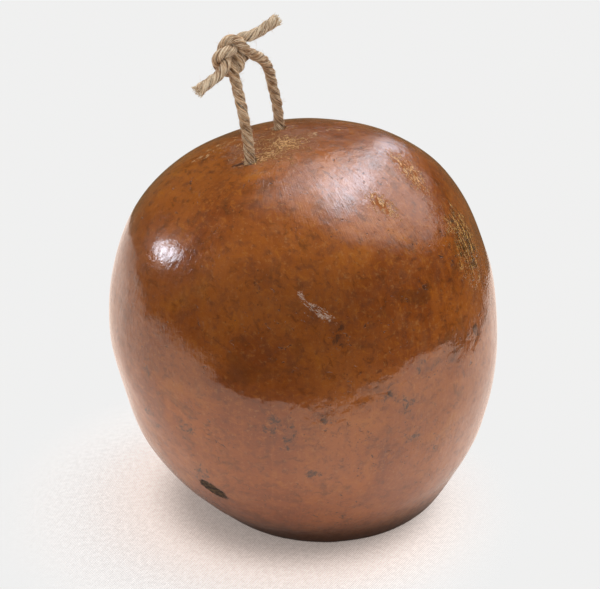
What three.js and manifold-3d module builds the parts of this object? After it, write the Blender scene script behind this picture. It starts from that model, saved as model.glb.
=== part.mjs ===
// A dried bottle gourd with a short loop of jute twine, tied in a knot above its top.
// Units are millimetres and +Z is up. The gourd stands on the plane z = 0,
// and the origin lies under the middle of the gourd.

import * as THREE from 'three';
import { mergeVertices } from 'three/addons/utils/BufferGeometryUtils.js';
import Module from 'manifold-3d';

const wasm = await Module();
wasm.setup();

// ---------------------------------------------------------------- driving dimensions

// Outline of the gourd along its own axis: [radius, height]. It runs from below the ground,
// where the foot is cut off flat, over the widest ring to the stem end.
const GOURD_OUTLINE = [
  [0, -18], [34, -14], [47.5, -7], [53, 0], [61, 10], [71, 22], [79, 36], [85.5, 52],
  [90, 70], [92.5, 91], [92.5, 114], [86.5, 139], [73.5, 162], [52, 178.5], [25, 186.5], [0, 188.5],
];
const OUTLINE_STEPS = 36;
const GOURD_SIDES = 60;
const GOURD_LEAN = THREE.MathUtils.degToRad(10);    // the stem end leans towards -X

// The gourd isn't quite round: soft lobes swell round its axis, by a share of the radius.
const LOBES = [
  { count: 2, share: 0.027, turn: THREE.MathUtils.degToRad(-104) },
  { count: 3, share: 0.019, turn: THREE.MathUtils.degToRad(40) },
];

// Under its widest ring the fruit bends a little towards +X.
const WIDEST_RADIUS = 90;
const WIDEST_HEIGHT = 90;
const FOOT_BEND = 4.5;

const TWINE_DIAMETER = 5;
const TWINE_SIDES = 8;
const HOLE_DIAMETER = 6.6;                          // the drilled holes that the twine runs through
const TOUCHING_GAP = 0.3;

// The twine from the knot, down through the front hole, under the skin,
// up through the back hole and over to the knot again.
const LOOP_ROUTE = [
  [-33.5, -11.5, 231.5], [-32.5, -12.7, 223.5], [-30, -14.7, 214.5], [-28, -15.7, 204.5], [-26.3, -16.7, 195],
  [-25.2, -17.7, 184], [-24.5, -17, 175.5], [-21.5, -11, 169.5], [-18, 0, 167.5], [-14.5, 11, 170],
  [-12.2, 16.5, 176], [-12, 17, 186], [-13, 16.5, 197.5], [-15.2, 15, 208.5], [-16.6, 13, 216.5],
  [-18.3, 10, 221.5], [-20.5, 6, 225], [-24, 1, 228], [-26.5, -2, 229.5], [-32, -8.5, 232],
];
const LOOP_STEPS = 44;
const FRONT_TAIL_ROUTE = [
  [-32.5, -12.5, 231.5], [-35, -18.7, 228], [-39.7, -21.7, 225], [-44.3, -24.7, 222.8], [-47.6, -26.7, 220.5],
];
const BACK_TAIL_ROUTE = [
  [-31.5, -10, 234], [-27, -8.7, 236.3], [-21, -6.2, 241.2], [-16.2, -4.7, 244.2], [-12, -2.7, 246.3],
];
const TAIL_STEPS = 5;

// Outer shape of the knot: half its length along X, Y and Z.
const KNOT_CENTRE = new THREE.Vector3(-33.5, -10.7, 232.5);
const KNOT_HALF_SIZE = new THREE.Vector3(8, 7.5, 9.5);
const KNOT_SIDES = 20;

// The drilled passage follows these points of the loop, from the air above the front hole
// to the air above the back one.
const PASSAGE_FROM = 4;
const PASSAGE_TO = 12;
const PASSAGE_STEPS = 26;

const GROUND_BLOCK = 400;

// ---------------------------------------------------------------- materials

const gourdSkin = new THREE.MeshStandardMaterial({ color: 0x8c4a20, roughness: 0.24, metalness: 0 });
const juteTwine = new THREE.MeshStandardMaterial({ color: 0xb4946c, roughness: 0.9, metalness: 0 });

// ---------------------------------------------------------------- helpers

// A closed solid for joining and cutting, from any closed three.js geometry.
function toSolid(geometry) {
  const bare = geometry.clone();
  bare.deleteAttribute('normal');
  bare.deleteAttribute('uv');
  const merged = mergeVertices(bare, 1e-4);
  const corners = merged.index.array;
  const kept = [];
  for (let i = 0; i < corners.length; i += 3) {
    const [a, b, c] = [corners[i], corners[i + 1], corners[i + 2]];
    if (a !== b && b !== c && c !== a) {
      kept.push(a, b, c);
    }
  }
  return new wasm.Manifold(new wasm.Mesh({
    numProp: 3,
    vertProperties: Float32Array.from(merged.attributes.position.array),
    triVerts: Uint32Array.from(kept),
  }));
}

function toGeometry(solid) {
  const mesh = solid.getMesh();
  const geometry = new THREE.BufferGeometry();
  geometry.setAttribute('position', new THREE.BufferAttribute(mesh.vertProperties, 3));
  geometry.setIndex(new THREE.BufferAttribute(mesh.triVerts, 1));
  geometry.computeVertexNormals();
  return geometry;
}

function smoothCurve(points) {
  return new THREE.CatmullRomCurve3(points.map((point) => new THREE.Vector3(...point)), false, 'centripetal');
}

// A round bar along a curve, closed at both ends.
function roundBar(curve, diameter, steps) {
  const section = new THREE.Shape();
  const radius = diameter / 2;
  for (let i = 0; i < TWINE_SIDES; i += 1) {
    const turn = (2 * Math.PI * i) / TWINE_SIDES;
    const corner = [radius * Math.cos(turn), radius * Math.sin(turn)];
    if (i === 0) {
      section.moveTo(...corner);
    } else {
      section.lineTo(...corner);
    }
  }
  section.closePath();
  return new THREE.ExtrudeGeometry(section, { steps, extrudePath: curve, bevelEnabled: false });
}

function named(name, geometry, material) {
  const mesh = new THREE.Mesh(geometry, material);
  mesh.name = name;
  return mesh;
}

// ---------------------------------------------------------------- the gourd

// The whole fruit before drilling, leaning and standing on the ground.
function gourdBody() {
  const outline = new THREE.SplineCurve(GOURD_OUTLINE.map(([radius, height]) => new THREE.Vector2(radius, height)));
  const body = new THREE.LatheGeometry(outline.getPoints(OUTLINE_STEPS), GOURD_SIDES);
  body.rotateX(Math.PI / 2);

  const place = body.attributes.position;
  for (let i = 0; i < place.count; i += 1) {
    const [x, y] = [place.getX(i), place.getY(i)];
    const reach = Math.min(Math.hypot(x, y) / WIDEST_RADIUS, 1) ** 2;
    let swell = 1;
    for (const { count, share, turn } of LOBES) {
      swell += share * reach * Math.cos(count * Math.atan2(y, x) + turn);
    }
    const bend = FOOT_BEND * Math.max(1 - place.getZ(i) / WIDEST_HEIGHT, 0) ** 2;
    place.setXY(i, x * swell + bend, y * swell);
  }
  body.rotateY(-GOURD_LEAN);

  const ground = new THREE.BoxGeometry(GROUND_BLOCK, GROUND_BLOCK, GROUND_BLOCK);
  ground.translate(0, 0, -GROUND_BLOCK / 2);
  const standing = toGeometry(toSolid(body).subtract(toSolid(ground)));
  standing.computeBoundingBox();
  const middle = standing.boundingBox.getCenter(new THREE.Vector3());
  standing.translate(-middle.x, -middle.y, 0);
  return standing;
}

// The passage starts and ends in the open air above the two holes.
function cordPassage() {
  const passage = smoothCurve(LOOP_ROUTE.slice(PASSAGE_FROM, PASSAGE_TO + 1));
  return roundBar(passage, HOLE_DIAMETER, PASSAGE_STEPS);
}

const gourd = named('gourd', toGeometry(toSolid(gourdBody()).subtract(toSolid(cordPassage()))), gourdSkin);

// ---------------------------------------------------------------- the twine

function knotShape(growth) {
  const shape = new THREE.SphereGeometry(1, KNOT_SIDES, KNOT_SIDES / 2);
  shape.rotateX(Math.PI / 2);
  shape.scale(KNOT_HALF_SIZE.x + growth, KNOT_HALF_SIZE.y + growth, KNOT_HALF_SIZE.z + growth);
  return shape;
}

// What is left of a stretch of twine outside the knot, with the gap between touching pieces.
function outsideKnot(route, steps) {
  const grownKnot = knotShape(TOUCHING_GAP);
  grownKnot.translate(KNOT_CENTRE.x, KNOT_CENTRE.y, KNOT_CENTRE.z);
  const bar = toSolid(roundBar(smoothCurve(route), TWINE_DIAMETER, steps));
  return toGeometry(bar.subtract(toSolid(grownKnot)));
}

const knot = named('cord_knot', knotShape(0), juteTwine);
knot.position.copy(KNOT_CENTRE);

const cord = new THREE.Group();
cord.add(
  named('cord_loop', outsideKnot(LOOP_ROUTE, LOOP_STEPS), juteTwine),
  knot,
  named('cord_front_tail', outsideKnot(FRONT_TAIL_ROUTE, TAIL_STEPS), juteTwine),
  named('cord_back_tail', outsideKnot(BACK_TAIL_ROUTE, TAIL_STEPS), juteTwine),
);

// ---------------------------------------------------------------- the whole object

const object = new THREE.Group();
object.add(gourd, cord);

export default object;
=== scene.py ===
"""Dried bottle gourd with a loop of jute twine tied through its top.

Everything is in metres, +Z up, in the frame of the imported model.
The gourd stands on the floor at the origin, and the stem end leans towards -X.
"""

import math
import random

import bmesh
import bpy
import numpy as np
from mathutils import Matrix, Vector, noise


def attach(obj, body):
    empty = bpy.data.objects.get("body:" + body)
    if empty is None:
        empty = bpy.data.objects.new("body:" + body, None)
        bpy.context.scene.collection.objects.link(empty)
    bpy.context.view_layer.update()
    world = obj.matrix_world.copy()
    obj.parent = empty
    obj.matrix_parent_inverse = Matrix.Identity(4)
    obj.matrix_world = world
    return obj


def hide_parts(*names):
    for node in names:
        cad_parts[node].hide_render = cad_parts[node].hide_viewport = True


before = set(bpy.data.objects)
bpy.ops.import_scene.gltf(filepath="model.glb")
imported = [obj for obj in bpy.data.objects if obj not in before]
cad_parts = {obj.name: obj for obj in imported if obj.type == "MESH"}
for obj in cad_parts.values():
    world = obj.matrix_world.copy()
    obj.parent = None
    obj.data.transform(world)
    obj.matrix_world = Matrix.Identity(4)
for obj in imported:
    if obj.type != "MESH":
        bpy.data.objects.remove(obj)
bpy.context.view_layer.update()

MM = 0.001

# ---------------------------------------------------------------- camera

CAMERA_AIM = Vector((-0.0022, 0.0, 0.1061))
CAMERA_DISTANCE = 1.0
CAMERA_RISE = math.radians(26)
LENS = 124


def add_camera():
    lens = bpy.data.cameras.new("camera")
    lens.lens = LENS
    lens.sensor_width = 36
    lens.clip_start = 0.05
    lens.clip_end = 50
    camera = bpy.data.objects.new("camera", lens)
    away = Vector((0, -math.cos(CAMERA_RISE), math.sin(CAMERA_RISE)))
    camera.location = CAMERA_AIM + away * CAMERA_DISTANCE
    camera.rotation_euler = (-away).to_track_quat("-Z", "Y").to_euler()
    bpy.context.scene.collection.objects.link(camera)
    bpy.context.scene.camera = camera


add_camera()


# ---------------------------------------------------------------- nodes

class Nodes:
    """Builds a material's nodes in few words. A value is a socket, a number or a colour."""

    def __init__(self, name):
        self.material = bpy.data.materials.new(name)
        self.material.use_nodes = True
        self.tree = self.material.node_tree
        self.tree.nodes.clear()
        self.output = self.add("ShaderNodeOutputMaterial")

    def add(self, kind, **settings):
        node = self.tree.nodes.new(kind)
        for key, value in settings.items():
            setattr(node, key, value)
        return node

    def put(self, socket, value):
        if isinstance(value, bpy.types.NodeSocket):
            self.tree.links.new(value, socket)
        elif isinstance(value, (tuple, list)) and len(value) == 3 and len(socket.default_value) == 4:
            socket.default_value = (*value, 1.0)
        else:
            socket.default_value = value

    def math(self, what, a, b=0.0, clamp=False):
        node = self.add("ShaderNodeMath", operation=what, use_clamp=clamp)
        self.put(node.inputs[0], a)
        self.put(node.inputs[1], b)
        return node.outputs[0]

    def blend(self, share, a, b, how="MIX"):
        node = self.add("ShaderNodeMix", data_type="RGBA", blend_type=how)
        self.put(node.inputs[0], share)
        self.put(node.inputs[6], a)
        self.put(node.inputs[7], b)
        return node.outputs[2]

    def ramp(self, value, low, high, to_low=0.0, to_high=1.0, smooth=True):
        node = self.add("ShaderNodeMapRange", interpolation_type="SMOOTHSTEP" if smooth else "LINEAR")
        self.put(node.inputs[0], value)
        for index, number in zip((1, 2, 3, 4), (low, high, to_low, to_high)):
            self.put(node.inputs[index], number)
        return node.outputs[0]

    def noise(self, place, scale, detail=3.0, rough=0.55, warp=0.0, as_colour=False):
        node = self.add("ShaderNodeTexNoise")
        self.put(node.inputs["Vector"], place)
        self.put(node.inputs["Scale"], scale)
        self.put(node.inputs["Detail"], detail)
        self.put(node.inputs["Roughness"], rough)
        self.put(node.inputs["Distortion"], warp)
        return node.outputs["Color" if as_colour else "Fac"]

    def cells(self, place, scale, feature="F1", randomness=1.0):
        node = self.add("ShaderNodeTexVoronoi", feature=feature)
        self.put(node.inputs["Vector"], place)
        self.put(node.inputs["Scale"], scale)
        self.put(node.inputs["Randomness"], randomness)
        return node.outputs["Distance"]

    def place(self, source, centre=(0, 0, 0), turn=(0, 0, 0), size=(1, 1, 1)):
        node = self.add("ShaderNodeMapping", vector_type="TEXTURE")
        self.put(node.inputs["Vector"], source)
        node.inputs["Location"].default_value = centre
        node.inputs["Rotation"].default_value = tuple(math.radians(angle) for angle in turn)
        node.inputs["Scale"].default_value = size
        return node.outputs[0]

    def vector(self, what, a, b=(0, 0, 0)):
        node = self.add("ShaderNodeVectorMath", operation=what)
        self.put(node.inputs[0], a)
        self.put(node.inputs[1], b)
        return node.outputs["Value" if what in ("LENGTH", "DOT_PRODUCT") else "Vector"]

    def add_axis(self, source, axis):
        parts = self.add("ShaderNodeSeparateXYZ")
        self.put(parts.inputs[0], source)
        return parts.outputs[axis]

    def object_place(self):
        return self.add("ShaderNodeTexCoord").outputs["Object"]

    def bump(self, height, distance, strength=1.0, under=None):
        node = self.add("ShaderNodeBump")
        self.put(node.inputs["Height"], height)
        self.put(node.inputs["Distance"], distance)
        self.put(node.inputs["Strength"], strength)
        if under is not None:
            self.put(node.inputs["Normal"], under)
        return node.outputs[0]

    def finish(self, **values):
        shader = self.add("ShaderNodeBsdfPrincipled")
        for key, value in values.items():
            self.put(shader.inputs[key.replace("_", " ")], value)
        self.tree.links.new(shader.outputs[0], self.output.inputs["Surface"])
        return self.material


def new_piece(name, bm, material):
    """A mesh object at the origin, smooth shaded."""
    mesh = bpy.data.meshes.new(name)
    bm.to_mesh(mesh)
    bm.free()
    mesh.materials.append(material)
    mesh.shade_smooth()
    piece = bpy.data.objects.new(name, mesh)
    bpy.context.scene.collection.objects.link(piece)
    return piece


# ---------------------------------------------------------------- twine

TWINE = 5.0 * MM
LAY = 16.5 * MM
PLY_RADIUS = 0.360
PLY_OFFSET = 0.148
TWINE_SIDES = 42
RING_STEP = 0.55 * MM
ROUTE_STEP = 1.2 * MM
KNOT_GAP = 4.37 * MM

INSIDE_MIDDLE = (-18, 0, 167.5)
FRONT_HOLE = Vector((-25.1, -17.7, 183.0)) * MM
BACK_HOLE = Vector((-12.0, 17.1, 185.4)) * MM
FRONT_LEG = [
    INSIDE_MIDDLE, (-21.5, -11, 169.5), (-24.5, -17, 175.5), (-25.2, -17.7, 184), (-26.3, -16.7, 195),
    (-28, -15.7, 204.5), (-30, -14.7, 214.5), (-31.2, -13.6, 220),
]
BACK_LEG = [
    INSIDE_MIDDLE, (-14.5, 11, 170), (-12.2, 16.5, 176), (-12, 17, 186), (-13, 16.5, 197.5),
    (-15.2, 15, 208.5), (-16.6, 13, 216.5), (-18.3, 10, 221.5), (-20.5, 6, 225), (-24, 1, 228),
]
FRONT_TAIL = [(-39.0, -21.3, 225.3), (-44.3, -24.7, 222.8), (-47.6, -26.7, 220.5)]
BACK_TAIL = [(-23, -7.0, 239.6), (-16.2, -4.7, 244.2), (-12, -2.7, 246.3)]

KNOT_CENTRE = np.array((-33.3, -9.8, 231.2))
KNOT_UNIT = 4.4
KNOT_OUT = np.array((-0.43, -0.67, -0.63))
KNOT_UP = np.array((-0.71, 0.66, -0.02))
KNOT_BIGHT = [
    (1.3, -0.45, -0.55), (0.6, -0.6, -0.1), (0, -0.85, 0.5), (-0.5, -1.1, 0.15), (-0.95, -1.0, -0.35),
    (-1.25, -0.5, -0.6), (-1.35, 0, -0.65), (-1.25, 0.5, -0.6), (-0.95, 1.0, -0.35), (-0.5, 1.1, 0.15),
    (0, 0.85, 0.5), (0.6, 0.6, -0.1), (1.3, 0.45, -0.55),
]


def even_steps(line, step):
    """The same line with points an even step apart."""
    lengths = np.linalg.norm(np.diff(line, axis=0), axis=1)
    along = np.concatenate(([0], np.cumsum(lengths)))
    count = max(2, int(round(along[-1] / step)))
    wanted = np.linspace(0, along[-1], count + 1)
    return np.stack([np.interp(wanted, along, line[:, axis]) for axis in range(3)], 1)


def smooth_route(points, step):
    """A smooth curve through the points."""
    points = np.array(points, float)
    ends = np.vstack([2 * points[0] - points[1], points, 2 * points[-1] - points[-2]])
    line = []
    for first in range(len(points) - 1):
        before, start, stop, after = ends[first:first + 4]
        for t in np.linspace(0, 1, 24, endpoint=False):
            line.append(0.5 * (
                2 * start
                + (stop - before) * t
                + (2 * before - 5 * start + 4 * stop - after) * t * t
                + (3 * start - before - 3 * stop + after) * t * t * t
            ))
    line.append(points[-1])
    return even_steps(np.array(line), step)


def knot_axes():
    out = KNOT_OUT / np.linalg.norm(KNOT_OUT)
    up = KNOT_UP - out * (KNOT_UP @ out)
    up /= np.linalg.norm(up)
    return out, np.cross(up, out), up


def bight(side):
    """One of the two bights of a reef knot: side is 1 for the front half, -1 for the back half."""
    out, across, up = knot_axes()
    return [
        tuple(KNOT_CENTRE + KNOT_UNIT * (side * u * out + v * across + side * w * up))
        for u, v, w in KNOT_BIGHT
    ]


def keep_apart(halves, held, gap, step, rounds=220):
    """Draws the two halves tight while no two stretches come closer than the gap."""
    for turn in range(rounds):
        everything = np.vstack(halves)
        owner = np.concatenate([np.full(len(half), index) for index, half in enumerate(halves)])
        order = np.concatenate([np.arange(len(half)) for half in halves])
        apart = everything[:, None] - everything[None]
        distance = np.linalg.norm(apart, axis=-1) + 1e-12
        same_half = owner[:, None] == owner[None]
        same_stretch = same_half & (abs(order[:, None] - order[None]) * step < gap * 1.6)
        overlap = np.where(same_stretch, 0, np.maximum(gap - distance, 0))
        push = (apart / distance[..., None] * overlap[..., None]).sum(1) * 0.25
        push /= np.sqrt(np.maximum((overlap > 0).sum(1), 1))[:, None]
        moved = []
        for index, half in enumerate(halves):
            pull = np.zeros_like(half)
            pull[1:-1] = (half[2:] + half[:-2]) / 2 - half[1:-1]
            bend = np.zeros_like(half)
            bend[2:-2] = (pull[1:-3] + pull[3:-1]) / 2 - pull[2:-2]
            new = half + push[owner == index] + pull * 0.05 - bend * 0.2
            start, stop = held[index]
            new[:start] = half[:start]
            new[len(half) - stop:] = half[len(half) - stop:]
            if turn % 10 == 9:
                middle = even_steps(new[start - 1:len(new) - stop + 1], step)
                new = np.vstack([new[:start], middle[1:-1], new[len(new) - stop:]])
            moved.append(new)
        halves = moved
    return halves


def twine_routes():
    front = smooth_route(np.array(FRONT_LEG + bight(1) + FRONT_TAIL) * MM, ROUTE_STEP)
    back = smooth_route(np.array(BACK_LEG + bight(-1) + BACK_TAIL) * MM, ROUTE_STEP)
    held = ((int(50 * MM / ROUTE_STEP), 6), (int(60 * MM / ROUTE_STEP), 6))
    front, back = keep_apart([front, back], held, KNOT_GAP, ROUTE_STEP)
    return smooth_route(front[::2], RING_STEP), smooth_route(back[::2], RING_STEP)


def carried_frames(line):
    """Two directions square to the line at each point, carried along without turning."""
    ahead = np.gradient(line, axis=0)
    ahead /= np.linalg.norm(ahead, axis=1)[:, None]
    side = np.cross(ahead[0], (0, 1, 0.2))
    side /= np.linalg.norm(side)
    sides = []
    for direction in ahead:
        side = side - direction * (side @ direction)
        side /= np.linalg.norm(side)
        sides.append(side)
    sides = np.array(sides)
    return ahead, sides, np.cross(ahead, sides)


def ply_section(angle, flare):
    """How far out the three laid plies reach, as a share of the twine's diameter."""
    lobe = (angle + math.pi / 3) % (2 * math.pi / 3) - math.pi / 3
    offset = PLY_OFFSET * (1 + 0.35 * flare)
    ply = PLY_RADIUS
    return offset * np.cos(lobe) + np.sqrt(ply ** 2 - (offset * np.sin(lobe)) ** 2)


def yarn_noise(around, along, seed):
    """Coarse fibres: a fine ripple round each ply that drifts slowly along it."""
    value = np.zeros(len(around))
    for index, (a, s) in enumerate(zip(around, along)):
        x, y = math.cos(a), math.sin(a)
        value[index] = (
            noise.noise(Vector((x * 2.2, y * 2.2, s * 160 + seed))) * 0.055
            + noise.noise(Vector((x * 6.5, y * 6.5, s * 110 + seed + 9))) * 0.04
        )
    return value


def laid_twine(name, line, start_turn, seed, material):
    """A sheet rolled into a tube with the section of three laid plies, which turn as it runs."""
    rings = len(line)
    bm = bmesh.new()
    bmesh.ops.create_grid(bm, x_segments=rings - 1, y_segments=TWINE_SIDES, size=1.0, calc_uvs=False)
    mesh = bpy.data.meshes.new(name)
    bm.to_mesh(mesh)
    bm.free()
    flat = np.empty(len(mesh.vertices) * 3)
    mesh.vertices.foreach_get("co", flat)
    flat = flat.reshape(-1, 3)
    ring = np.rint((flat[:, 0] + 1) / 2 * (rings - 1)).astype(int)
    around = (flat[:, 1] + 1) / 2
    along = ring * RING_STEP
    total = (rings - 1) * RING_STEP
    flare = np.clip((along - (total - 7 * MM)) / (7 * MM), 0, 1) ** 1.5
    angle = around * 2 * math.pi
    reach = ply_section(angle, flare) * (1 + 0.06 * flare)
    reach = TWINE * (reach + yarn_noise(angle, along, seed))
    swell = np.array([noise.noise(Vector((s * 60, seed, 3.1))) for s in range(rings)])
    reach *= 1 + 0.05 * swell[ring]
    turned = angle + start_turn - 2 * math.pi * along / LAY
    _, side, up = carried_frames(line)
    place = line[ring] + reach[:, None] * (
        np.cos(turned)[:, None] * side[ring] + np.sin(turned)[:, None] * up[ring]
    )
    mesh.vertices.foreach_set("co", place.ravel())
    corner = np.empty(len(mesh.loops), dtype=np.int64)
    mesh.loops.foreach_get("vertex_index", corner)
    uv = mesh.uv_layers.new(name="lay")
    uv.data.foreach_set("uv", np.stack([around[corner], along[corner]], 1).ravel())
    bm = bmesh.new()
    bm.from_mesh(mesh)
    bpy.data.meshes.remove(mesh)
    bmesh.ops.remove_doubles(bm, verts=bm.verts[:], dist=0.01 * MM)
    rims = [edge for edge in bm.edges if edge.is_boundary]
    bmesh.ops.holes_fill(bm, edges=rims, sides=0)
    bmesh.ops.recalc_face_normals(bm, faces=bm.faces[:])
    return new_piece(name, bm, material)


def twine_material():
    n = Nodes("jute_twine")
    uv = n.add("ShaderNodeUVMap", uv_map="lay").outputs[0]
    place = n.object_place()
    fibres = n.noise(n.place(uv, size=(1 / 17.0, 1 / 120.0, 1)), 1.0, 5.0, 0.66, 0.5)
    fine = n.noise(n.place(uv, size=(1 / 36.0, 1 / 210.0, 1)), 1.0, 4.0, 0.7, 0.6)
    crossing = n.noise(n.place(uv, size=(1 / 14.0, 1 / 420.0, 1)), 1.0, 3.0, 0.7, 2.0)
    patches = n.noise(place, 300.0, 3.0, 0.6)
    broad = n.noise(place, 70.0, 2.0, 0.5)
    ply = n.math("COSINE", n.math("MULTIPLY", n.add_axis(uv, 0), 6 * math.pi))
    colour = n.blend(n.ramp(fibres, 0.40, 0.60), (0.25, 0.105, 0.038), (0.80, 0.49, 0.26))
    colour = n.blend(n.ramp(fine, 0.50, 0.58), colour, (1.0, 0.83, 0.60))
    colour = n.blend(n.ramp(fine, 0.46, 0.38), colour, (0.075, 0.030, 0.010))
    colour = n.blend(n.ramp(crossing, 0.58, 0.68, 0.0, 0.75), colour, (1.0, 0.88, 0.66))
    colour = n.blend(n.ramp(patches, 0.40, 0.75, 0.0, 0.35), colour, (0.36, 0.19, 0.080))
    colour = n.blend(n.ramp(broad, 0.35, 0.7, 0.0, 0.30), colour, (0.30, 0.16, 0.070))
    # Painted shade: the grooves between the plies are darkened in the colour, less so where the twine is
    # patchy.
    painted_groove_shade = n.math("MULTIPLY", n.ramp(ply, -0.60, -1.0), n.ramp(patches, 0.30, 0.62, 1.0, 0.35))
    colour = n.blend(n.math("MULTIPLY", painted_groove_shade, 0.85), colour, (0.050, 0.021, 0.008))
    knotted = n.ramp(n.add_axis(uv, 1), 0.112, 0.126)
    pale_strands = n.ramp(fibres, 0.42, 0.62, 0.0, 0.55)
    colour = n.blend(n.math("MULTIPLY", knotted, pale_strands), colour, (1.0, 0.86, 0.64))
    rough = n.ramp(fibres, 0.2, 0.8, 0.95, 0.72)
    bump = n.bump(fibres, 0.60 * MM, 1.0)
    bump = n.bump(fine, 0.34 * MM, 1.0, bump)
    bump = n.bump(crossing, 0.12 * MM, 1.0, bump)
    return n.finish(
        Base_Color=colour, Roughness=rough, Normal=bump, Sheen_Weight=0.10, Sheen_Roughness=0.5,
        Sheen_Tint=(1.0, 0.86, 0.68, 1.0),
        Specular_IOR_Level=0.25,
    )


def loose_fibres(name, line, count, seed, material, tip_tuft):
    """Thin hairs that stand off the twine, and a tuft of cut fibre ends at the tail's tip."""
    chance = random.Random(seed)
    ahead, side, up = carried_frames(line)
    last = len(line) - 1
    curve = bpy.data.curves.new(name, "CURVE")
    curve.dimensions = "3D"
    curve.bevel_depth = 0.075 * MM
    curve.bevel_resolution = 0
    first = int(26 * MM / RING_STEP)

    def hair(points, thick):
        spline = curve.splines.new("POLY")
        spline.points.add(len(points) - 1)
        for index, (point, dot) in enumerate(zip(spline.points, points)):
            point.co = (*dot, 1.0)
            point.radius = thick * (1.0 - 0.55 * index / (len(points) - 1))

    for _ in range(count):
        at = chance.randint(first, last - 4)
        angle = chance.uniform(0, 2 * math.pi)
        out = math.cos(angle) * side[at] + math.sin(angle) * up[at]
        around = np.cross(ahead[at], out)
        root = line[at] + out * TWINE * 0.40
        length = chance.choice((1.2, 1.6, 2.0, 2.6, 3.4)) * MM * chance.uniform(0.7, 1.2)
        heading = (
            ahead[at] * chance.uniform(-1, 1)
            + out * chance.uniform(0.12, 0.55)
            + around * chance.uniform(-0.8, 0.8)
        )
        heading /= np.linalg.norm(heading)
        curl = (ahead[at] * chance.uniform(-1, 1) + around * chance.uniform(-1, 1)) * 0.35 - out * 0.12
        dots = [root]
        for part in range(4):
            heading = heading + curl * 0.4
            heading /= np.linalg.norm(heading)
            dots.append(dots[-1] + heading * length / 4)
        hair(dots, chance.uniform(0.5, 1.1))
    for _ in range(tip_tuft):
        angle = chance.uniform(0, 2 * math.pi)
        radius = TWINE * 0.46 * math.sqrt(chance.random())
        out = math.cos(angle) * side[last] + math.sin(angle) * up[last]
        root = line[last] + out * radius * 0.95 - ahead[last] * 1.4 * MM
        heading = ahead[last] + out * 0.9 * radius / TWINE + side[last] * chance.uniform(-0.22, 0.22)
        heading = heading + up[last] * chance.uniform(-0.22, 0.22)
        heading /= np.linalg.norm(heading)
        length = chance.uniform(1.6, 3.4) * MM
        dots = [root + heading * length * part / 3 for part in range(4)]
        hair(dots, chance.uniform(1.8, 3.6))
    holder = bpy.data.objects.new(name + "_lines", curve)
    mesh = bpy.data.meshes.new_from_object(holder)
    bpy.data.objects.remove(holder)
    bpy.data.curves.remove(curve)
    mesh.name = name
    mesh.materials.clear()
    mesh.materials.append(material)
    piece = bpy.data.objects.new(name, mesh)
    bpy.context.scene.collection.objects.link(piece)
    return piece


def fibre_material():
    n = Nodes("loose_fibre")
    place = n.object_place()
    tone = n.noise(place, 900.0, 2.0, 0.5)
    colour = n.blend(n.ramp(tone, 0.35, 0.65), (0.62, 0.45, 0.27), (0.95, 0.86, 0.70))
    bump = n.bump(n.noise(place, 6000.0), 0.02 * MM, 0.5)
    return n.finish(Base_Color=colour, Roughness=n.ramp(tone, 0.2, 0.8, 0.6, 0.85), Normal=bump)


def tie_twine():
    front, back = twine_routes()
    jute = twine_material()
    fibre = fibre_material()
    halves = (
        ("twine_front", front, 0.4, 1, FRONT_HOLE, ("cord_loop", "cord_front_tail")),
        ("twine_back", back, 1.7, 2, BACK_HOLE, ("cord_knot", "cord_back_tail")),
    )
    for name, line, turn, seed, hole, solids in halves:
        twine = laid_twine(name, line, turn, seed, jute)
        fuzz = loose_fibres(name + "_fuzz", line, 620, seed + 10, fibre, 130)
        for piece in (twine, fuzz):
            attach(piece, "root")
        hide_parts(*solids)


tie_twine()


# ---------------------------------------------------------------- gourd shape

GOURD_OUTLINE = [
    (0, -18), (34, -14), (47.5, -7), (53, 0), (61, 10), (71, 22), (79, 36), (85.5, 52),
    (90, 70), (92.5, 91), (92.5, 114), (86.5, 139), (73.5, 162), (52, 178.5), (25, 186.5), (0, 188.5),
]
LEAN = math.radians(10)
LOBES = ((2, 0.027, math.radians(-104)), (3, 0.019, math.radians(40)))
WIDEST_RADIUS = 90
WIDEST_HEIGHT = 90
FOOT_BEND = 4.5
GOURD_SHIFT = (16.08, -0.91)
FOOT_ROUND = 4.0
FOOT_MIDDLE = np.array((12.7, -0.8))
FOOT_TUCK = 0.08
FOOT_SPREAD = 0.05
FOOT_TUCK_HEIGHT = 11
SKIN_CUTS = 117


def outline_by_angle():
    """The outline as reach against angle, seen from the middle of the gourd's own axis."""
    ends = [GOURD_OUTLINE[0]] + GOURD_OUTLINE + [GOURD_OUTLINE[-1]]
    dots = []
    for first in range(len(GOURD_OUTLINE) - 1):
        before, start, stop, after = (np.array(p, float) for p in ends[first:first + 4])
        for t in np.linspace(0, 1, 40, endpoint=False):
            dots.append(0.5 * (
                2 * start
                + (stop - before) * t
                + (2 * before - 5 * start + 4 * stop - after) * t * t
                + (3 * start - before - 3 * stop + after) * t * t * t
            ))
    dots.append(np.array(GOURD_OUTLINE[-1], float))
    dots = np.array(dots)
    angle = np.arctan2(dots[:, 0], dots[:, 1] - WIDEST_HEIGHT)
    reach = np.hypot(dots[:, 0], dots[:, 1] - WIDEST_HEIGHT)
    order = np.argsort(angle)
    return angle[order], reach[order]


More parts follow.
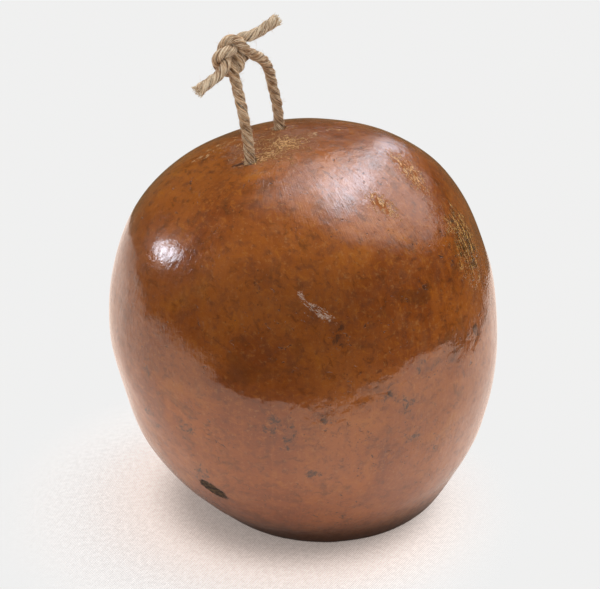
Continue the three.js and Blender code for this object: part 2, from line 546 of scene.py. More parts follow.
def gourd_surface(directions):
    """Points of the gourd's smooth surface, in millimetres, for directions from its middle."""
    angles, reaches = outline_by_angle()
    tilt = np.arccos(np.clip(directions[:, 2], -1, 1))
    around = np.arctan2(directions[:, 1], directions[:, 0])
    reach = np.interp(tilt, angles, reaches)
    radius = reach * np.sin(tilt)
    height = WIDEST_HEIGHT + reach * np.cos(tilt)
    lobed = np.minimum(radius / WIDEST_RADIUS, 1) ** 2
    swell = np.ones(len(radius))
    for count, share, turn in LOBES:
        swell += share * lobed * np.cos(count * around + turn)
    x = radius * swell * np.cos(around)
    y = radius * swell * np.sin(around)
    x = x + FOOT_BEND * np.maximum(1 - height / WIDEST_HEIGHT, 0) ** 2
    leant = x * math.cos(LEAN) - height * math.sin(LEAN)
    z = x * math.sin(LEAN) + height * math.cos(LEAN)
    return np.stack([leant + GOURD_SHIFT[0], y + GOURD_SHIFT[1], z], 1)


def rounded_foot(z):
    """Flattens what is below the floor, with a small round where the side meets the foot."""
    near = np.clip((z + FOOT_ROUND) / (2 * FOOT_ROUND), 0, 1)
    return np.where(z > FOOT_ROUND, z, FOOT_ROUND * near ** 2)


HOLE_RADIUS = 2.8
HOLES = ((np.array(FRONT_HOLE) / MM, HOLE_RADIUS), (np.array(BACK_HOLE) / MM, HOLE_RADIUS))
DENTS = [
    ((60, -68, 90), 16, 0.7), ((-30, -86, 60), 20, 0.6), ((20, -88, 50), 13, 0.5), ((-72, -30, 100), 22, 0.5),
    ((54, -20, 175), 7, 0.7), ((44, -12, 181), 5, 0.35), ((5, -70, 165), 24, -0.7), ((40, -50, 165), 16, 0.6),
    ((66, -30, 150), 12, -0.9), ((-50, -20, 172), 20, 0.7), ((25, 20, 183), 22, 0.5),
    ((-10, -92, 105), 15, -0.4), ((75, 10, 120), 24, 0.7), ((-60, 50, 120), 26, 0.8),
    ((10, 90, 110), 26, 0.7), ((50, 70, 70), 22, 0.6), ((-40, 80, 60), 20, 0.6), ((-86, 10, 90), 20, 0.6),
]


def skin_relief(points):
    """How far each point stands in or out of the smooth surface, in millimetres."""
    out = np.empty(len(points))
    for index, point in enumerate(points):
        x, y, z = (float(value) for value in point)
        broad = noise.noise(Vector((x * 0.028 + 3, y * 0.028, z * 0.028))) * 0.9
        middle = noise.noise(Vector((x * 0.06, y * 0.06 + 7, z * 0.06))) * 0.16
        out[index] = broad + middle
    for centre, width, depth in DENTS:
        away = np.linalg.norm(points - np.array(centre, float), axis=1)
        out -= depth * np.exp(-(away / width) ** 2)
    return out


def gourd_mesh():
    bm = bmesh.new()
    bmesh.ops.create_cube(bm, size=2.0)
    bmesh.ops.subdivide_edges(bm, edges=bm.edges[:], cuts=SKIN_CUTS, use_grid_fill=True)
    mesh = bpy.data.meshes.new("rough_gourd")
    bm.to_mesh(mesh)
    bm.free()
    cube = np.empty(len(mesh.vertices) * 3)
    mesh.vertices.foreach_get("co", cube)
    cube = np.tan(cube.reshape(-1, 3) * math.pi / 4)
    directions = cube / np.linalg.norm(cube, axis=1)[:, None]
    smooth = gourd_surface(directions)
    mesh.vertices.foreach_set("co", (smooth * MM).ravel())
    bm = bmesh.new()
    bm.from_mesh(mesh)
    bpy.data.meshes.remove(mesh)
    for (centre, _), reach in zip(HOLES, (9, 8)):
        near = Vector(centre * MM)
        edges = [
            edge for edge in bm.edges
            if (edge.verts[0].co - near).length < reach * MM and (edge.verts[1].co - near).length < reach * MM
        ]
        bmesh.ops.subdivide_edges(bm, edges=edges, cuts=2, use_grid_fill=True)
    bmesh.ops.recalc_face_normals(bm, faces=bm.faces[:])
    return bm


def shape_gourd(material):
    bm = gourd_mesh()
    bm.normal_update()
    points = np.array([vert.co for vert in bm.verts]) / MM
    normals = np.array([vert.normal for vert in bm.verts])
    relief = skin_relief(points)
    lift = np.clip((points[:, 2] - 1) / 14, 0, 1)
    points = points + normals * (relief * lift)[:, None]
    for centre, radius in HOLES:
        offset = points - centre
        depth = (offset * np.array((0, 0, 1))).sum(1)
        flat = np.hypot(offset[:, 0], offset[:, 1])
        near = np.abs(depth) < 8
        wobble = np.array([
            noise.noise(Vector((math.cos(a) * 1.6, math.sin(a) * 1.6, float(centre[0])))) * 0.5
            for a in np.arctan2(offset[:, 1], offset[:, 0])
        ])
        inside = np.clip((radius + wobble + 0.35 - flat) / 0.7, 0, 1) * near
        rim = np.exp(-((flat - radius - 1.4) / 1.0) ** 2) * near
        points[:, 2] += 0.28 * rim - inside * 6.5
        shrink = 1 - 0.25 * inside
        points[:, 0] = np.where(inside > 0, centre[0] + offset[:, 0] * shrink, points[:, 0])
        points[:, 1] = np.where(inside > 0, centre[1] + offset[:, 1] * shrink, points[:, 1])
    right, front = np.clip((points[:, :2] - FOOT_MIDDLE) * (1, -1) / 50, 0, 1).T
    near_floor = np.clip(1 - points[:, 2] / FOOT_TUCK_HEIGHT, 0, 1) ** 2
    tucked = 1 - (FOOT_TUCK * right - FOOT_SPREAD * front) * near_floor
    points[:, :2] = FOOT_MIDDLE + (points[:, :2] - FOOT_MIDDLE) * tucked[:, None]
    points[:, 2] = rounded_foot(points[:, 2])
    for vert, point in zip(bm.verts, points):
        vert.co = point * MM
    gourd = new_piece("gourd_skin_shell", bm, material)
    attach(gourd, "root")
    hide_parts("gourd")
    return gourd


# ---------------------------------------------------------------- gourd skin

STAIN_COUNT = 40
STAIN_TILT = (92, 12)
STAIN_HALF_WIDTH = (1.4, 4.2)
STAIN_HALF_HEIGHT = (1.4, 5.5)
STAIN_DEPTH = 5
SCUFFS = [
    ((-1.6, -82.8, 145.6), (2.6, 3, 0.9), (0, 62, 0), 0.8),
    ((2.6, -84.2, 141.4), (4.2, 3, 1.0), (0, 36, 0), 1.0),
    ((7.4, -84.9, 138.2), (5.6, 3, 1.5), (0, 38, 0), 1.0), ((-64, 52, 140), (6, 5, 1.6), (0, 35, 40), 0.7),
    ((38, -80, 150), (3.4, 4, 1.0), (0, 30, 0), 0.5), ((52, 62, 130), (5, 5, 1.4), (0, -40, -40), 0.7),
]
SCAR = ((-42.8, -72.2, 40.6), (11.4, 5, 2.8), (0, 31, 26))


def scattered_stains():
    """Middles and half sizes of small stains, most of them in a band round the belly."""
    chance = random.Random(31)
    stains = []
    for _ in range(STAIN_COUNT):
        around = chance.uniform(0, math.tau)
        tilt = math.radians(chance.gauss(*STAIN_TILT))
        width = chance.uniform(*STAIN_HALF_WIDTH)
        height = chance.uniform(*STAIN_HALF_HEIGHT)
        direction = (math.sin(tilt) * math.cos(around), math.sin(tilt) * math.sin(around), math.cos(tilt))
        middle = tuple(float(value) for value in gourd_surface(np.array([direction]))[0])
        half_size = (
            math.hypot(STAIN_DEPTH * math.cos(around), width * math.sin(around)),
            math.hypot(STAIN_DEPTH * math.sin(around), width * math.cos(around)),
            height,
        )
        stains.append((middle, half_size))
    return stains


def mark(n, place, ragged, centre, half_size, turn=(0, 0, 0), soft=0.55, wobble=0.5):
    """A mask that is 1 inside an egg-shaped spot with a ragged edge, and 0 outside it."""
    local = n.place(place, [value * MM for value in centre], turn, [value * MM for value in half_size])
    distance = n.vector("LENGTH", local)
    reach = n.math("ADD", distance, n.math("MULTIPLY", n.math("SUBTRACT", ragged, 0.5), wobble * 4))
    return n.ramp(reach, 1.0 + soft, 1.0 - soft)


def most(n, masks):
    """The strongest of several masks."""
    top = masks[0]
    for other in masks[1:]:
        top = n.math("MAXIMUM", top, other)
    return top


def skin_material():
    n = Nodes("varnished_gourd_skin")
    place = n.object_place()
    parts = n.add("ShaderNodeSeparateXYZ")
    n.put(parts.inputs[0], place)
    x, y, z = parts.outputs
    around = n.math("ARCTAN2", y, n.math("ADD", x, 0.016))
    from_stem = n.vector("LENGTH", n.vector("SUBTRACT", place, (-0.016, 0.0, 0.190)))
    strand = n.add("ShaderNodeCombineXYZ")
    n.put(strand.inputs[0], around)
    n.put(strand.inputs[1], n.math("MULTIPLY", z, 0.2))
    n.put(strand.inputs[2], from_stem)
    meridians = n.noise(n.place(strand.outputs[0], size=(0.022, 0.05, 0.055)), 1.0, 5.0, 0.65, 0.5)
    hairlines = n.noise(n.place(strand.outputs[0], size=(0.011, 0.05, 0.011)), 1.0, 3.0, 0.65, 0.8)

    mottle = n.noise(place, 26.0, 6.0, 0.62, 0.8)
    blotch = n.noise(place, 9.5, 3.0, 0.5, 0.6)
    grain = n.noise(place, 190.0, 4.0, 0.62)
    speckle = n.noise(place, 520.0, 3.0, 0.6)
    ragged = n.noise(place, 260.0, 4.0, 0.68)
    torn = n.noise(place, 620.0, 3.0, 0.7)

    colour = n.blend(n.ramp(mottle, 0.32, 0.66), (0.215, 0.045, 0.0012), (0.360, 0.094, 0.004))
    colour = n.blend(n.ramp(blotch, 0.42, 0.66, 0.0, 0.55), colour, (0.40, 0.120, 0.018))
    colour = n.blend(n.ramp(blotch, 0.42, 0.25, 0.0, 0.35), colour, (0.20, 0.038, 0.002))
    golden = n.math("MULTIPLY", n.ramp(mottle, 0.52, 0.72), n.ramp(n.noise(place, 60.0, 3.0), 0.45, 0.65))
    colour = n.blend(n.math("MULTIPLY", golden, 0.55), colour, (0.46, 0.165, 0.006))
    flecks = n.noise(n.place(place, turn=(15, 25, 40), size=(1, 1.5, 0.8)), 240.0, 5.0, 0.72, 0.7)
    colour = n.blend(n.ramp(flecks, 0.52, 0.66, 0.0, 0.62), colour, (0.105, 0.026, 0.002))
    colour = n.blend(n.ramp(flecks, 0.47, 0.32, 0.0, 0.42), colour, (0.46, 0.150, 0.010))
    colour = n.blend(n.ramp(meridians, 0.50, 0.74, 0.0, 0.22), colour, (0.46, 0.140, 0.020))
    colour = n.blend(n.ramp(grain, 0.50, 0.68, 0.0, 0.42), colour, (0.12, 0.030, 0.006))
    colour = n.blend(n.ramp(speckle, 0.56, 0.70, 0.0, 0.34), colour, (0.46, 0.20, 0.055))

    # Painted reflection: the skin takes a dull pink cast towards the bottom, standing in for the pale floor's
    # reflection there.
    colour = n.blend(n.ramp(z, 0.115, 0.070, 0.0, 0.28), colour, (0.21, 0.072, 0.034))
    smudges = n.noise(n.place(place, turn=(40, 0, 15), size=(1, 1, 0.8)), 52.0, 5.0, 0.65, 0.6)
    colour = n.blend(n.ramp(smudges, 0.54, 0.68, 0.0, 0.42), colour, (0.085, 0.026, 0.004))
    colour = n.blend(n.ramp(smudges, 0.44, 0.30, 0.0, 0.26), colour, (0.36, 0.135, 0.035))

    freckle_zone = n.ramp(n.noise(place, 42.0, 2.0), 0.50, 0.68)
    freckles = n.math("MULTIPLY", n.ramp(n.cells(place, 330.0), 0.20, 0.08), freckle_zone)
    colour = n.blend(n.math("MULTIPLY", freckles, 0.65), colour, (0.035, 0.016, 0.010))

    clouds = most(n, [
        mark(n, place, ragged, centre, size, soft=0.6, wobble=1.0) for centre, size in scattered_stains()
    ])
    cracks = n.noise(n.place(place, turn=(35, 10, 20), size=(1, 1, 1.5)), 250.0, 5.0, 0.66, 0.6)
    stain = n.math("MULTIPLY", n.ramp(clouds, 0.25, 0.70), n.ramp(cracks, 0.50, 0.56))
    colour = n.blend(n.math("MULTIPLY", clouds, 0.26), colour, (0.13, 0.052, 0.028))
    stain_depth = n.ramp(torn, 0.35, 0.60, 0.50, 0.86)
    colour = n.blend(n.math("MULTIPLY", stain, stain_depth), colour, (0.040, 0.023, 0.014))

    pits = n.noise(n.place(place, turn=(20, 30, 10), size=(1, 1, 0.6)), 330.0, 2.0, 0.5, 1.0)
    pits = n.ramp(pits, 0.66, 0.72)
    chosen = n.ramp(n.noise(place, 31.0, 1.0), 0.47, 0.58)
    pits = n.math("MULTIPLY", pits, chosen)
    colour = n.blend(n.math("MULTIPLY", pits, 0.75), colour, (0.045, 0.018, 0.008))

    centre, size, turn = SCAR
    scar = mark(n, place, torn, centre, size, turn, soft=0.14, wobble=0.22)
    rim_size = (size[0] * 1.18, size[1] * 1.3, size[2] * 1.5)
    scar_rim = mark(n, place, torn, centre, rim_size, turn, soft=0.4, wobble=0.3)
    colour = n.blend(n.math("MULTIPLY", scar_rim, 0.35), colour, (0.10, 0.035, 0.015))
    scar_tone = n.blend(n.ramp(torn, 0.42, 0.62), (0.020, 0.012, 0.007), (0.095, 0.060, 0.030))
    colour = n.blend(scar, colour, scar_tone)

    scuff = most(n, [
        n.math("MULTIPLY", mark(n, place, torn, centre, size, turn, soft=0.4, wobble=0.8), strength)
        for centre, size, turn, strength in SCUFFS
    ])
    scratches = n.noise(n.place(place, turn=(0, 38, 0), size=(4.0, 1.0, 0.8)), 1500.0, 3.0, 0.7, 0.4)
    scuff = n.math("MULTIPLY", scuff, n.ramp(scratches, 0.46, 0.56))
    colour = n.blend(n.math("MULTIPLY", scuff, 0.75), colour, (0.82, 0.64, 0.50))

    ridge = mark(n, place, ragged, (73, -29, 147), (9, 9, 27), (0, 12, 0), soft=0.6, wobble=1.0)
    ridge_lines = n.ramp(hairlines, 0.58, 0.44, 0.15, 0.92)
    colour = n.blend(n.math("MULTIPLY", ridge, ridge_lines), colour, (0.050, 0.028, 0.006))
    ridge_wear = n.math("ADD", n.math("MULTIPLY", torn, 0.55), n.math("MULTIPLY", hairlines, 0.45))
    ridge = n.math("MULTIPLY", ridge, n.ramp(ridge_wear, 0.51, 0.57))
    colour = n.blend(n.math("MULTIPLY", ridge, 0.80), colour, (0.60, 0.32, 0.07))

    flaked = most(n, [
        mark(n, place, torn, (48.5, -18.5, 178.0), (13, 5.0, 9), (0, 0, -50), soft=0.5, wobble=0.9),
        mark(n, place, torn, (35.5, -46.0, 173.8), (8, 3.6, 6), (0, 0, -20), soft=0.4, wobble=0.9),
    ])
    chips = n.noise(n.place(place, turn=(0, 0, -58), size=(2.2, 0.8, 1.0)), 330.0, 4.0, 0.65, 1.2)
    rubbed = most(n, [
        mark(n, place, torn, (-41, 9.9, 179), (6.5, 3.0, 4), (0, 0, 20), soft=0.7, wobble=1.2),
        mark(n, place, torn, (-48, 3, 176), (4.0, 2.4, 4), (0, 0, 20), soft=0.7, wobble=1.2),
        mark(n, place, torn, (4, 4, 187), (4.0, 2.0, 4), (0, 0, 30), soft=0.7, wobble=1.2),
        mark(n, place, torn, (14, 12, 185), (3.0, 2.0, 4), (0, 0, 30), soft=0.7, wobble=1.2),
    ])
    chip_edges = n.math("MULTIPLY", n.ramp(chips, 0.43, 0.47), n.ramp(chips, 0.53, 0.49))
    gilt = n.math("MULTIPLY", flaked, chip_edges)
    flaked = n.math("MULTIPLY", flaked, n.ramp(chips, 0.47, 0.52))
    colour = n.blend(n.math("MULTIPLY", flaked, 0.80), colour, (0.30, 0.082, 0.004))
    colour = n.blend(n.math("MULTIPLY", gilt, 0.85), colour, (1.0, 0.58, 0.26))
    threads = n.noise(n.place(place, turn=(0, 0, 25), size=(2.6, 0.7, 1.0)), 700.0, 3.0, 0.7, 0.8)
    rubbed = n.math("MULTIPLY", rubbed, n.ramp(threads, 0.54, 0.60))
    colour = n.blend(n.math("MULTIPLY", rubbed, 0.8), colour, (0.95, 0.66, 0.36))

    worn = mark(n, place, ragged, (-15, -4, 186), (17, 18, 14), (0, 0, 0), soft=0.6, wobble=0.9)
    nap = n.noise(n.place(place, turn=(0, 0, 35), size=(1.0, 0.45, 1.0)), 780.0, 4.0, 0.7, 0.6)
    colour = n.blend(n.math("MULTIPLY", worn, 0.50), colour, (0.22, 0.066, 0.010))
    tufts = n.math("MULTIPLY", worn, n.ramp(nap, 0.50, 0.66))
    colour = n.blend(n.math("MULTIPLY", tufts, 0.80), colour, (0.60, 0.34, 0.12))
    worn_shade = n.ramp(nap, 0.44, 0.32, 0.0, 0.55)
    colour = n.blend(n.math("MULTIPLY", worn, worn_shade), colour, (0.10, 0.032, 0.008))
    # Painted shade: the holes and a thin ring round them are darkened, standing in for the dark inside of the
    # hollow shell; a dark split runs beside the front hole.
    hole_shade_and_split = most(n, [
        mark(n, place, torn, tuple(hole / MM), (3.5, 3.5, 6), soft=0.35, wobble=0.45)
        for hole in (FRONT_HOLE, BACK_HOLE)
    ])
    split = mark(n, place, torn, (-29.5, -18.2, 182.0), (4.6, 0.9, 3), (0, 0, -8), soft=0.3, wobble=0.5)
    hole_shade_and_split = n.math("MAXIMUM", hole_shade_and_split, split)
    colour = n.blend(n.math("MULTIPLY", hole_shade_and_split, 0.85), colour, (0.045, 0.016, 0.006))

    # Painted shade: a band round the middle, between about 80 and 168 mm up and strongest towards -X, is
    # darkened to a deep brown.
    belly = n.math("MULTIPLY", n.ramp(z, 0.080, 0.112), n.ramp(z, 0.168, 0.140))
    belly = n.math("MULTIPLY", belly, n.ramp(x, 0.050, 0.005, 0.05, 1.0))
    colour = n.blend(n.math("MULTIPLY", belly, 0.46), colour, (0.115, 0.027, 0.0004))
    # Painted shade: the skin darkens to near black towards the floor, with a ragged edge, standing in for the
    # contact shadow under the gourd; the coat thins there too.
    painted_contact_shade = n.ramp(n.math("ADD", z, n.math("MULTIPLY", ragged, 0.008)), 0.030, 0.004, 0.0, 0.90)
    colour = n.blend(painted_contact_shade, colour, (0.034, 0.015, 0.008))
    dull = most(n, [
        n.math("MULTIPLY", worn, 0.75), hole_shade_and_split, scar, flaked, n.math("MULTIPLY", gilt, 0.6),
        n.math("MULTIPLY", ridge, 0.6), n.math("MULTIPLY", scuff, 0.5),
    ])
    rough = n.math("ADD", n.ramp(grain, 0.3, 0.7, 0.30, 0.42), n.math("MULTIPLY", dull, 0.35), clamp=True)
    coat = n.math("SUBTRACT", 0.96, n.math("MULTIPLY", n.math("MAXIMUM", dull, painted_contact_shade), 0.90), clamp=True)

    wrinkles = n.noise(place, 185.0, 3.0, 0.5, 0.6)
    dimples = n.noise(place, 75.0, 2.0, 0.5)
    uneven = n.ramp(n.noise(place, 30.0, 2.0), 0.35, 0.7, 0.45, 1.5)
    bump = n.bump(dimples, 0.34 * MM)
    bump = n.bump(n.math("MULTIPLY", wrinkles, uneven), 0.20 * MM, 1.0, bump)
    bump = n.bump(n.math("MULTIPLY", hairlines, uneven), 0.080 * MM, 1.0, bump)
    bump = n.bump(n.math("MULTIPLY", torn, uneven), 0.028 * MM, 1.0, bump)
    puckered = most(n, [
        mark(n, place, ragged, (-57, -56, 152), (13, 13, 12), soft=0.8, wobble=0.4),
        mark(n, place, ragged, (44, -24, 177), (15, 20, 12), soft=0.8, wobble=0.4),
        n.math("MULTIPLY", mark(n, place, ragged, (-70, -60, 124), (22, 26, 26), soft=0.8, wobble=0.4), 0.7),
    ])
    creases = n.noise(n.place(place, turn=(0, 25, 40), size=(1.0, 0.7, 1.6)), 210.0, 4.0, 0.66, 1.0)
    bump = n.bump(n.math("MULTIPLY", creases, puckered), 0.24 * MM, 1.0, bump)
    bump = n.bump(n.math("ADD", tufts, n.math("MULTIPLY", gilt, 0.6)), 0.35 * MM, 1.0, bump)
    hollow = n.math("ADD", n.math("MULTIPLY", scar, 1.0), n.math("MULTIPLY", pits, 0.22))
    bump = n.bump(n.math("SUBTRACT", 1.0, hollow), 0.45 * MM, 1.0, bump)
    bump = n.bump(n.math("ADD", scuff, n.math("MULTIPLY", ridge, 0.7)), 0.16 * MM, 1.0, bump)
    return n.finish(
        Base_Color=colour, Roughness=rough, Normal=bump, Specular_IOR_Level=0.30, Coat_Weight=coat,
        Coat_Roughness=0.03, Coat_IOR=1.62, Coat_Normal=bump,
    )


def nap_round_holes(gourd):
    """Short torn fibres that lie on the rubbed skin round the two holes."""
    chance = random.Random(77)
    curve = bpy.data.curves.new("nap", "CURVE")
    curve.dimensions = "3D"
    curve.bevel_depth = 0.085 * MM
    curve.bevel_resolution = 0
    patches = (
        ((-9, -5), (8, 7), 250), ((-24, -18), (5, 4), 90), ((-12, 17), (4, 4), 60), ((-17, -14), (8, 6), 110),
        ((-18, 0), (15, 15), 90),
    )
    for (middle_x, middle_y), (spread_x, spread_y), count in patches:
        for _ in range(count):
            x = (middle_x + chance.gauss(0, spread_x * 0.55)) * MM
            y = (middle_y + chance.gauss(0, spread_y * 0.55)) * MM
            angle = chance.gauss(0.6, 0.9)
            length = chance.uniform(0.8, 3.0) * MM
            rise = chance.uniform(0.05, 0.45) * MM
            dots = []
            for part in range(4):
                along = length * part / 3
                at_x = x + math.cos(angle) * along
                at_y = y + math.sin(angle) * along
                hit, spot, _, _ = gourd.ray_cast(Vector((at_x, at_y, 0.25)), Vector((0, 0, -1)))
                if not hit or spot.z < 0.176:
                    break
                dots.append((at_x, at_y, spot.z + 0.03 * MM + rise * math.sin(math.pi * part / 3)))
                angle += chance.uniform(-0.35, 0.35)
            if len(dots) < 4:
                continue
            spline = curve.splines.new("POLY")
            spline.points.add(3)
            thick = chance.uniform(0.5, 1.2)
            for point, dot in zip(spline.points, dots):
                point.co = (*dot, 1.0)
                point.radius = thick
    holder = bpy.data.objects.new("nap_lines", curve)
    mesh = bpy.data.meshes.new_from_object(holder)
    bpy.data.objects.remove(holder)
    bpy.data.curves.remove(curve)
    mesh.name = "rubbed_skin_nap"
    mesh.materials.clear()
    mesh.materials.append(nap_material())
    nap = bpy.data.objects.new("rubbed_skin_nap", mesh)
    bpy.context.scene.collection.objects.link(nap)
    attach(nap, "root")


def nap_material():
    n = Nodes("rubbed_skin_fibre")
    place = n.object_place()
    tone = n.noise(place, 700.0, 2.0, 0.5)
    colour = n.blend(n.ramp(tone, 0.38, 0.62), (0.42, 0.18, 0.045), (0.95, 0.62, 0.28))
    bump = n.bump(n.noise(place, 5000.0), 0.02 * MM, 0.5)
    return n.finish(Base_Color=colour, Roughness=n.ramp(tone, 0.2, 0.8, 0.55, 0.8), Normal=bump)


gourd = shape_gourd(skin_material())
bpy.context.view_layer.update()
nap_round_holes(gourd)


# ---------------------------------------------------------------- stage

PALE = (0.871, 0.871, 0.868)
THREAD_PITCH = 1.3 * MM
TABLE = (
    (0.33, -0.10), (0.33, 0.30), (-0.05, 0.30), (-3.0, 2.9), (-3.0, -0.60), (-0.36, -0.37), (-0.09, -0.25),
    (0.06, -0.225), (0.19, -0.225),
)


def cloth_material():
    n = Nodes("pale_table_cloth")
    place = n.place(n.object_place(), turn=(0, 0, 12))
    parts = n.add("ShaderNodeSeparateXYZ")
    n.put(parts.inputs[0], place)
    pitch = 2 * math.pi / THREAD_PITCH
    warp = n.math("SINE", n.math("MULTIPLY", parts.outputs[0], pitch))
    weft = n.math("SINE", n.math("MULTIPLY", parts.outputs[1], pitch))
    weave = n.math("MULTIPLY", warp, weft)
    slub = n.noise(place, 420.0, 2.0, 0.6)
    thread = n.math("ADD", n.ramp(weave, -1, 1, 0.0, 0.84, smooth=False), n.ramp(slub, 0.3, 0.7, 0.0, 0.16))
    colour = n.blend(thread, (0.33, 0.255, 0.215), (0.68, 0.59, 0.54))
    bump = n.bump(weave, 0.10 * MM, 1.0)
    away = n.vector("LENGTH", n.place(n.object_place(), (-0.025, -0.02, 0)))
    past_foot = n.vector("LENGTH", n.place(n.object_place(), (-0.004, -0.008, 0)))
    # The cloth glows as an even pale floor, with a painted shadow: foot_shade dims the glow round the gourd's
    # foot, and thread_shade gives it the weave.
    foot_shade = n.ramp(past_foot, 0.050, 0.080, 0.22, 0.66)
    thread_shade = n.ramp(thread, 0.0, 1.0, 0.58, 1.42, smooth=False)
    glow = n.math("MULTIPLY", foot_shade, thread_shade)
    seen = n.add("ShaderNodeLightPath").outputs["Is Camera Ray"]
    # In reflections and bounce the glow dims further near the foot, a painted shadow, and fades a little far
    # away, a painted fall-off.
    glow = n.math("MULTIPLY", glow, n.math("MAXIMUM", seen, n.ramp(past_foot, 0.040, 0.120, 0.05, 0.97)))
    glow = n.math("MULTIPLY", glow, n.math("MAXIMUM", seen, n.ramp(past_foot, 0.20, 1.40, 1.0, 0.70)))
    # Painted shadow tint: the glow the camera sees is warm pink near the foot and cool further out; in
    # reflections and bounce it is warm pink all over.
    glow_tint_warm_in_shadow = n.blend(n.ramp(past_foot, 0.060, 0.115), (0.98, 0.84, 0.77), (0.83, 0.865, 0.88))
    material = n.finish(
        Base_Color=colour, Roughness=0.95, Normal=bump, Specular_IOR_Level=0.1, Emission_Strength=glow,
        Emission_Color=n.blend(seen, (0.90, 0.72, 0.62), glow_tint_warm_in_shadow),
    )
    cloth = n.output.inputs["Surface"].links[0].from_socket
    clear = n.add("ShaderNodeBsdfTransparent")
    fade = n.math("MULTIPLY", n.ramp(away, 0.072, 0.136), seen)
    mixed = n.add("ShaderNodeMixShader")
    n.put(mixed.inputs[0], fade)
    n.tree.links.new(cloth, mixed.inputs[1])
    n.tree.links.new(clear.outputs[0], mixed.inputs[2])
    n.tree.links.new(mixed.outputs[0], n.output.inputs["Surface"])
    return material


def lay_floor():
    bm = bmesh.new()
    corners = [bm.verts.new((x, y, 0)) for x, y in TABLE]
    bmesh.ops.contextual_create(bm, geom=corners)
    bmesh.ops.recalc_face_normals(bm, faces=bm.faces[:])
    if bm.faces[:][0].normal.z < 0:
        bmesh.ops.reverse_faces(bm, faces=bm.faces[:])
    floor = new_piece("floor", bm, cloth_material())


def facing_gourd(azimuth, rise, distance):
    """The turn and place of a light or card that faces the gourd.

    Azimuth 0 is towards the camera, 90 to its right.
    """
    a, e = math.radians(azimuth), math.radians(rise)
    away = Vector((math.sin(a) * math.cos(e), -math.cos(a) * math.cos(e), math.sin(e)))
    turn = (-away).to_track_quat("-Z", "Y")
    return turn.to_matrix().to_4x4(), Vector((0, 0, 0.12)) + away * distance


def soft_light(name, azimuth, rise, distance, size, power, colour=(1, 1, 1)):
    light = bpy.data.lights.new(name, "AREA")
    light.shape = "RECTANGLE"
    light.size, light.size_y = size
    light.energy = power
    light.color = colour
    lamp = bpy.data.objects.new(name, light)
    turn, place = facing_gourd(azimuth, rise, distance)
    lamp.matrix_world = turn
    lamp.location = place
    lamp.visible_glossy = False
    bpy.context.scene.collection.objects.link(lamp)


def glow_card(name, azimuth, rise, distance, size, glow, edges, ragged, hot_spots):
    """A bright card that only the gloss shows.

    The edges are (where the glow starts, where it is full) for the left, right, bottom and top.
    Each hot spot is (x, y, half width, half height, turn in degrees, glow). Lengths are metres on the card.
    """
    n = Nodes(name + "_glow")
    place = n.add("ShaderNodeUVMap", uv_map="card").outputs[0]
    wave = n.math("MULTIPLY", n.math("SUBTRACT", n.noise(place, 3.0, 5.0, 0.6), 0.5), ragged)
    across = n.math("ADD", n.add_axis(place, 0), wave)
    up = n.math("ADD", n.add_axis(place, 1), wave)
    total = n.math("MULTIPLY", n.ramp(across, *edges[0]), glow)
    for value, edge in ((across, edges[1]), (up, edges[2]), (up, edges[3])):
        total = n.math("MULTIPLY", total, n.ramp(value, *edge))
    emission = n.add("ShaderNodeEmission")
    hot = 0.0
    for spot_x, spot_y, wide, high, turn, spot_glow in hot_spots:
        away = n.vector("LENGTH", n.place(place, (spot_x, spot_y, 0), (0, 0, turn), (wide, high, 1)))
        hot = n.math("ADD", n.math("MULTIPLY", n.ramp(away, 1.25, 0.15), spot_glow), hot)
    white = n.math("DIVIDE", hot, n.math("ADD", n.math("ADD", total, hot), 0.001))
    n.put(emission.inputs["Color"], n.blend(white, (0.95, 0.90, 0.91), (0.74, 0.84, 1.0)))
    n.put(emission.inputs["Strength"], n.math("ADD", total, hot))
    clear = n.add("ShaderNodeBsdfTransparent")
    both = n.add("ShaderNodeAddShader")
    n.tree.links.new(emission.outputs[0], both.inputs[0])
    n.tree.links.new(clear.outputs[0], both.inputs[1])
    n.tree.links.new(both.outputs[0], n.output.inputs["Surface"])
    bm = bmesh.new()
    bmesh.ops.create_grid(bm, x_segments=1, y_segments=1, size=0.5, calc_uvs=False)
    bmesh.ops.scale(bm, vec=(size[0], size[1], 1), verts=bm.verts[:])
    layer = bm.loops.layers.uv.new("card")
    for face in bm.faces:
        for loop in face.loops:
            loop[layer].uv = loop.vert.co.xy
    turn, where = facing_gourd(azimuth, rise, distance)
    bmesh.ops.transform(bm, matrix=turn, verts=bm.verts[:])
    bmesh.ops.translate(bm, vec=where, verts=bm.verts[:])
    card = new_piece(name, bm, n.material)
    card.visible_camera = False
    card.visible_diffuse = False
    card.visible_shadow = False


def world_ramp(tree, source, start, stop, low, high):
    """A value that goes from low to high while the source goes from start to stop."""
    node = tree.nodes.new("ShaderNodeMapRange")
    for index, number in zip((1, 2, 3, 4), (start, stop, low, high)):
        node.inputs[index].default_value = number
    tree.links.new(source, node.inputs[0])
    return node.outputs[0]


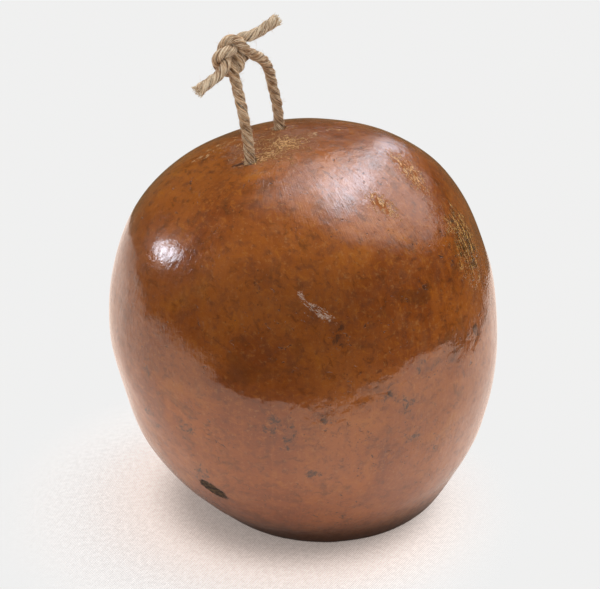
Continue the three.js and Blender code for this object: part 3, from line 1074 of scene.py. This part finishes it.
def light_room():
    """Even light on the cloth, a dim room in the gloss, and a pale backdrop."""
    world = bpy.data.worlds.new("room")
    world.use_nodes = True
    tree = world.node_tree
    tree.nodes.clear()
    rays = tree.nodes.new("ShaderNodeLightPath")
    out = tree.nodes.new("ShaderNodeOutputWorld")
    shades = []
    for colour in (PALE, (0.74, 0.74, 0.74), (0.031, 0.020, 0.010)):
        shade = tree.nodes.new("ShaderNodeBackground")
        shade.inputs[0].default_value = (*colour, 1)
        shades.append(shade)
    ways = tree.nodes.new("ShaderNodeTexCoord")
    split = tree.nodes.new("ShaderNodeSeparateXYZ")
    tree.links.new(ways.outputs["Generated"], split.inputs[0])
    higher = world_ramp(tree, split.outputs[2], 0.1, 0.9, 0.25, 4.5)
    behind = world_ramp(tree, split.outputs[1], 0.35, 0.85, 0.0, 5.0)
    low = world_ramp(tree, split.outputs[2], 0.12, -0.05, 0.0, 1.0)
    wall = tree.nodes.new("ShaderNodeMath")
    wall.operation = "MULTIPLY_ADD"
    tree.links.new(behind, wall.inputs[0])
    tree.links.new(low, wall.inputs[1])
    tree.links.new(higher, wall.inputs[2])
    tree.links.new(wall.outputs[0], shades[2].inputs[1])
    seen = tree.nodes.new("ShaderNodeMixShader")
    tree.links.new(rays.outputs["Is Camera Ray"], seen.inputs[0])
    tree.links.new(shades[1].outputs[0], seen.inputs[1])
    tree.links.new(shades[0].outputs[0], seen.inputs[2])
    gloss = tree.nodes.new("ShaderNodeMixShader")
    tree.links.new(rays.outputs["Is Glossy Ray"], gloss.inputs[0])
    tree.links.new(seen.outputs[0], gloss.inputs[1])
    tree.links.new(shades[2].outputs[0], gloss.inputs[2])
    tree.links.new(gloss.outputs[0], out.inputs[0])
    bpy.context.scene.world = world
    soft_light("overhead", 120, 72, 1.9, (1.6, 1.6), 9)
    soft_light("key", 125, 48, 1.6, (0.6, 0.6), 6, (1.0, 0.97, 0.93))
    soft_light("fill", -60, 35, 1.6, (0.8, 0.8), 2, (0.95, 0.97, 1.0))
    glow_card(
        "window", 140, 50, 1.3, (4.2, 3.3), 1.85,
        ((-1.9, -0.6), (0.70, 0.67), (-0.53, -0.50), (1.50, 0.30)), 0.45,
        ((0.0, 0.32, 0.54, 0.26, -35, 7.6), (0.60, -0.72, 0.40, 0.15, 121, 5.0)),
    )
    glow_card(
        "side_card", -110, 27, 1.2, (1.0, 1.0), 1.5,
        ((-0.10, -0.08), (0.33, 0.31), (-0.20, -0.18), (0.20, 0.18)), 0.30,
        ((0.12, -0.03, 0.25, 0.12, 40, 15.0),),
    )
    bpy.context.scene.view_settings.view_transform = "Standard"


lay_floor()
light_room()
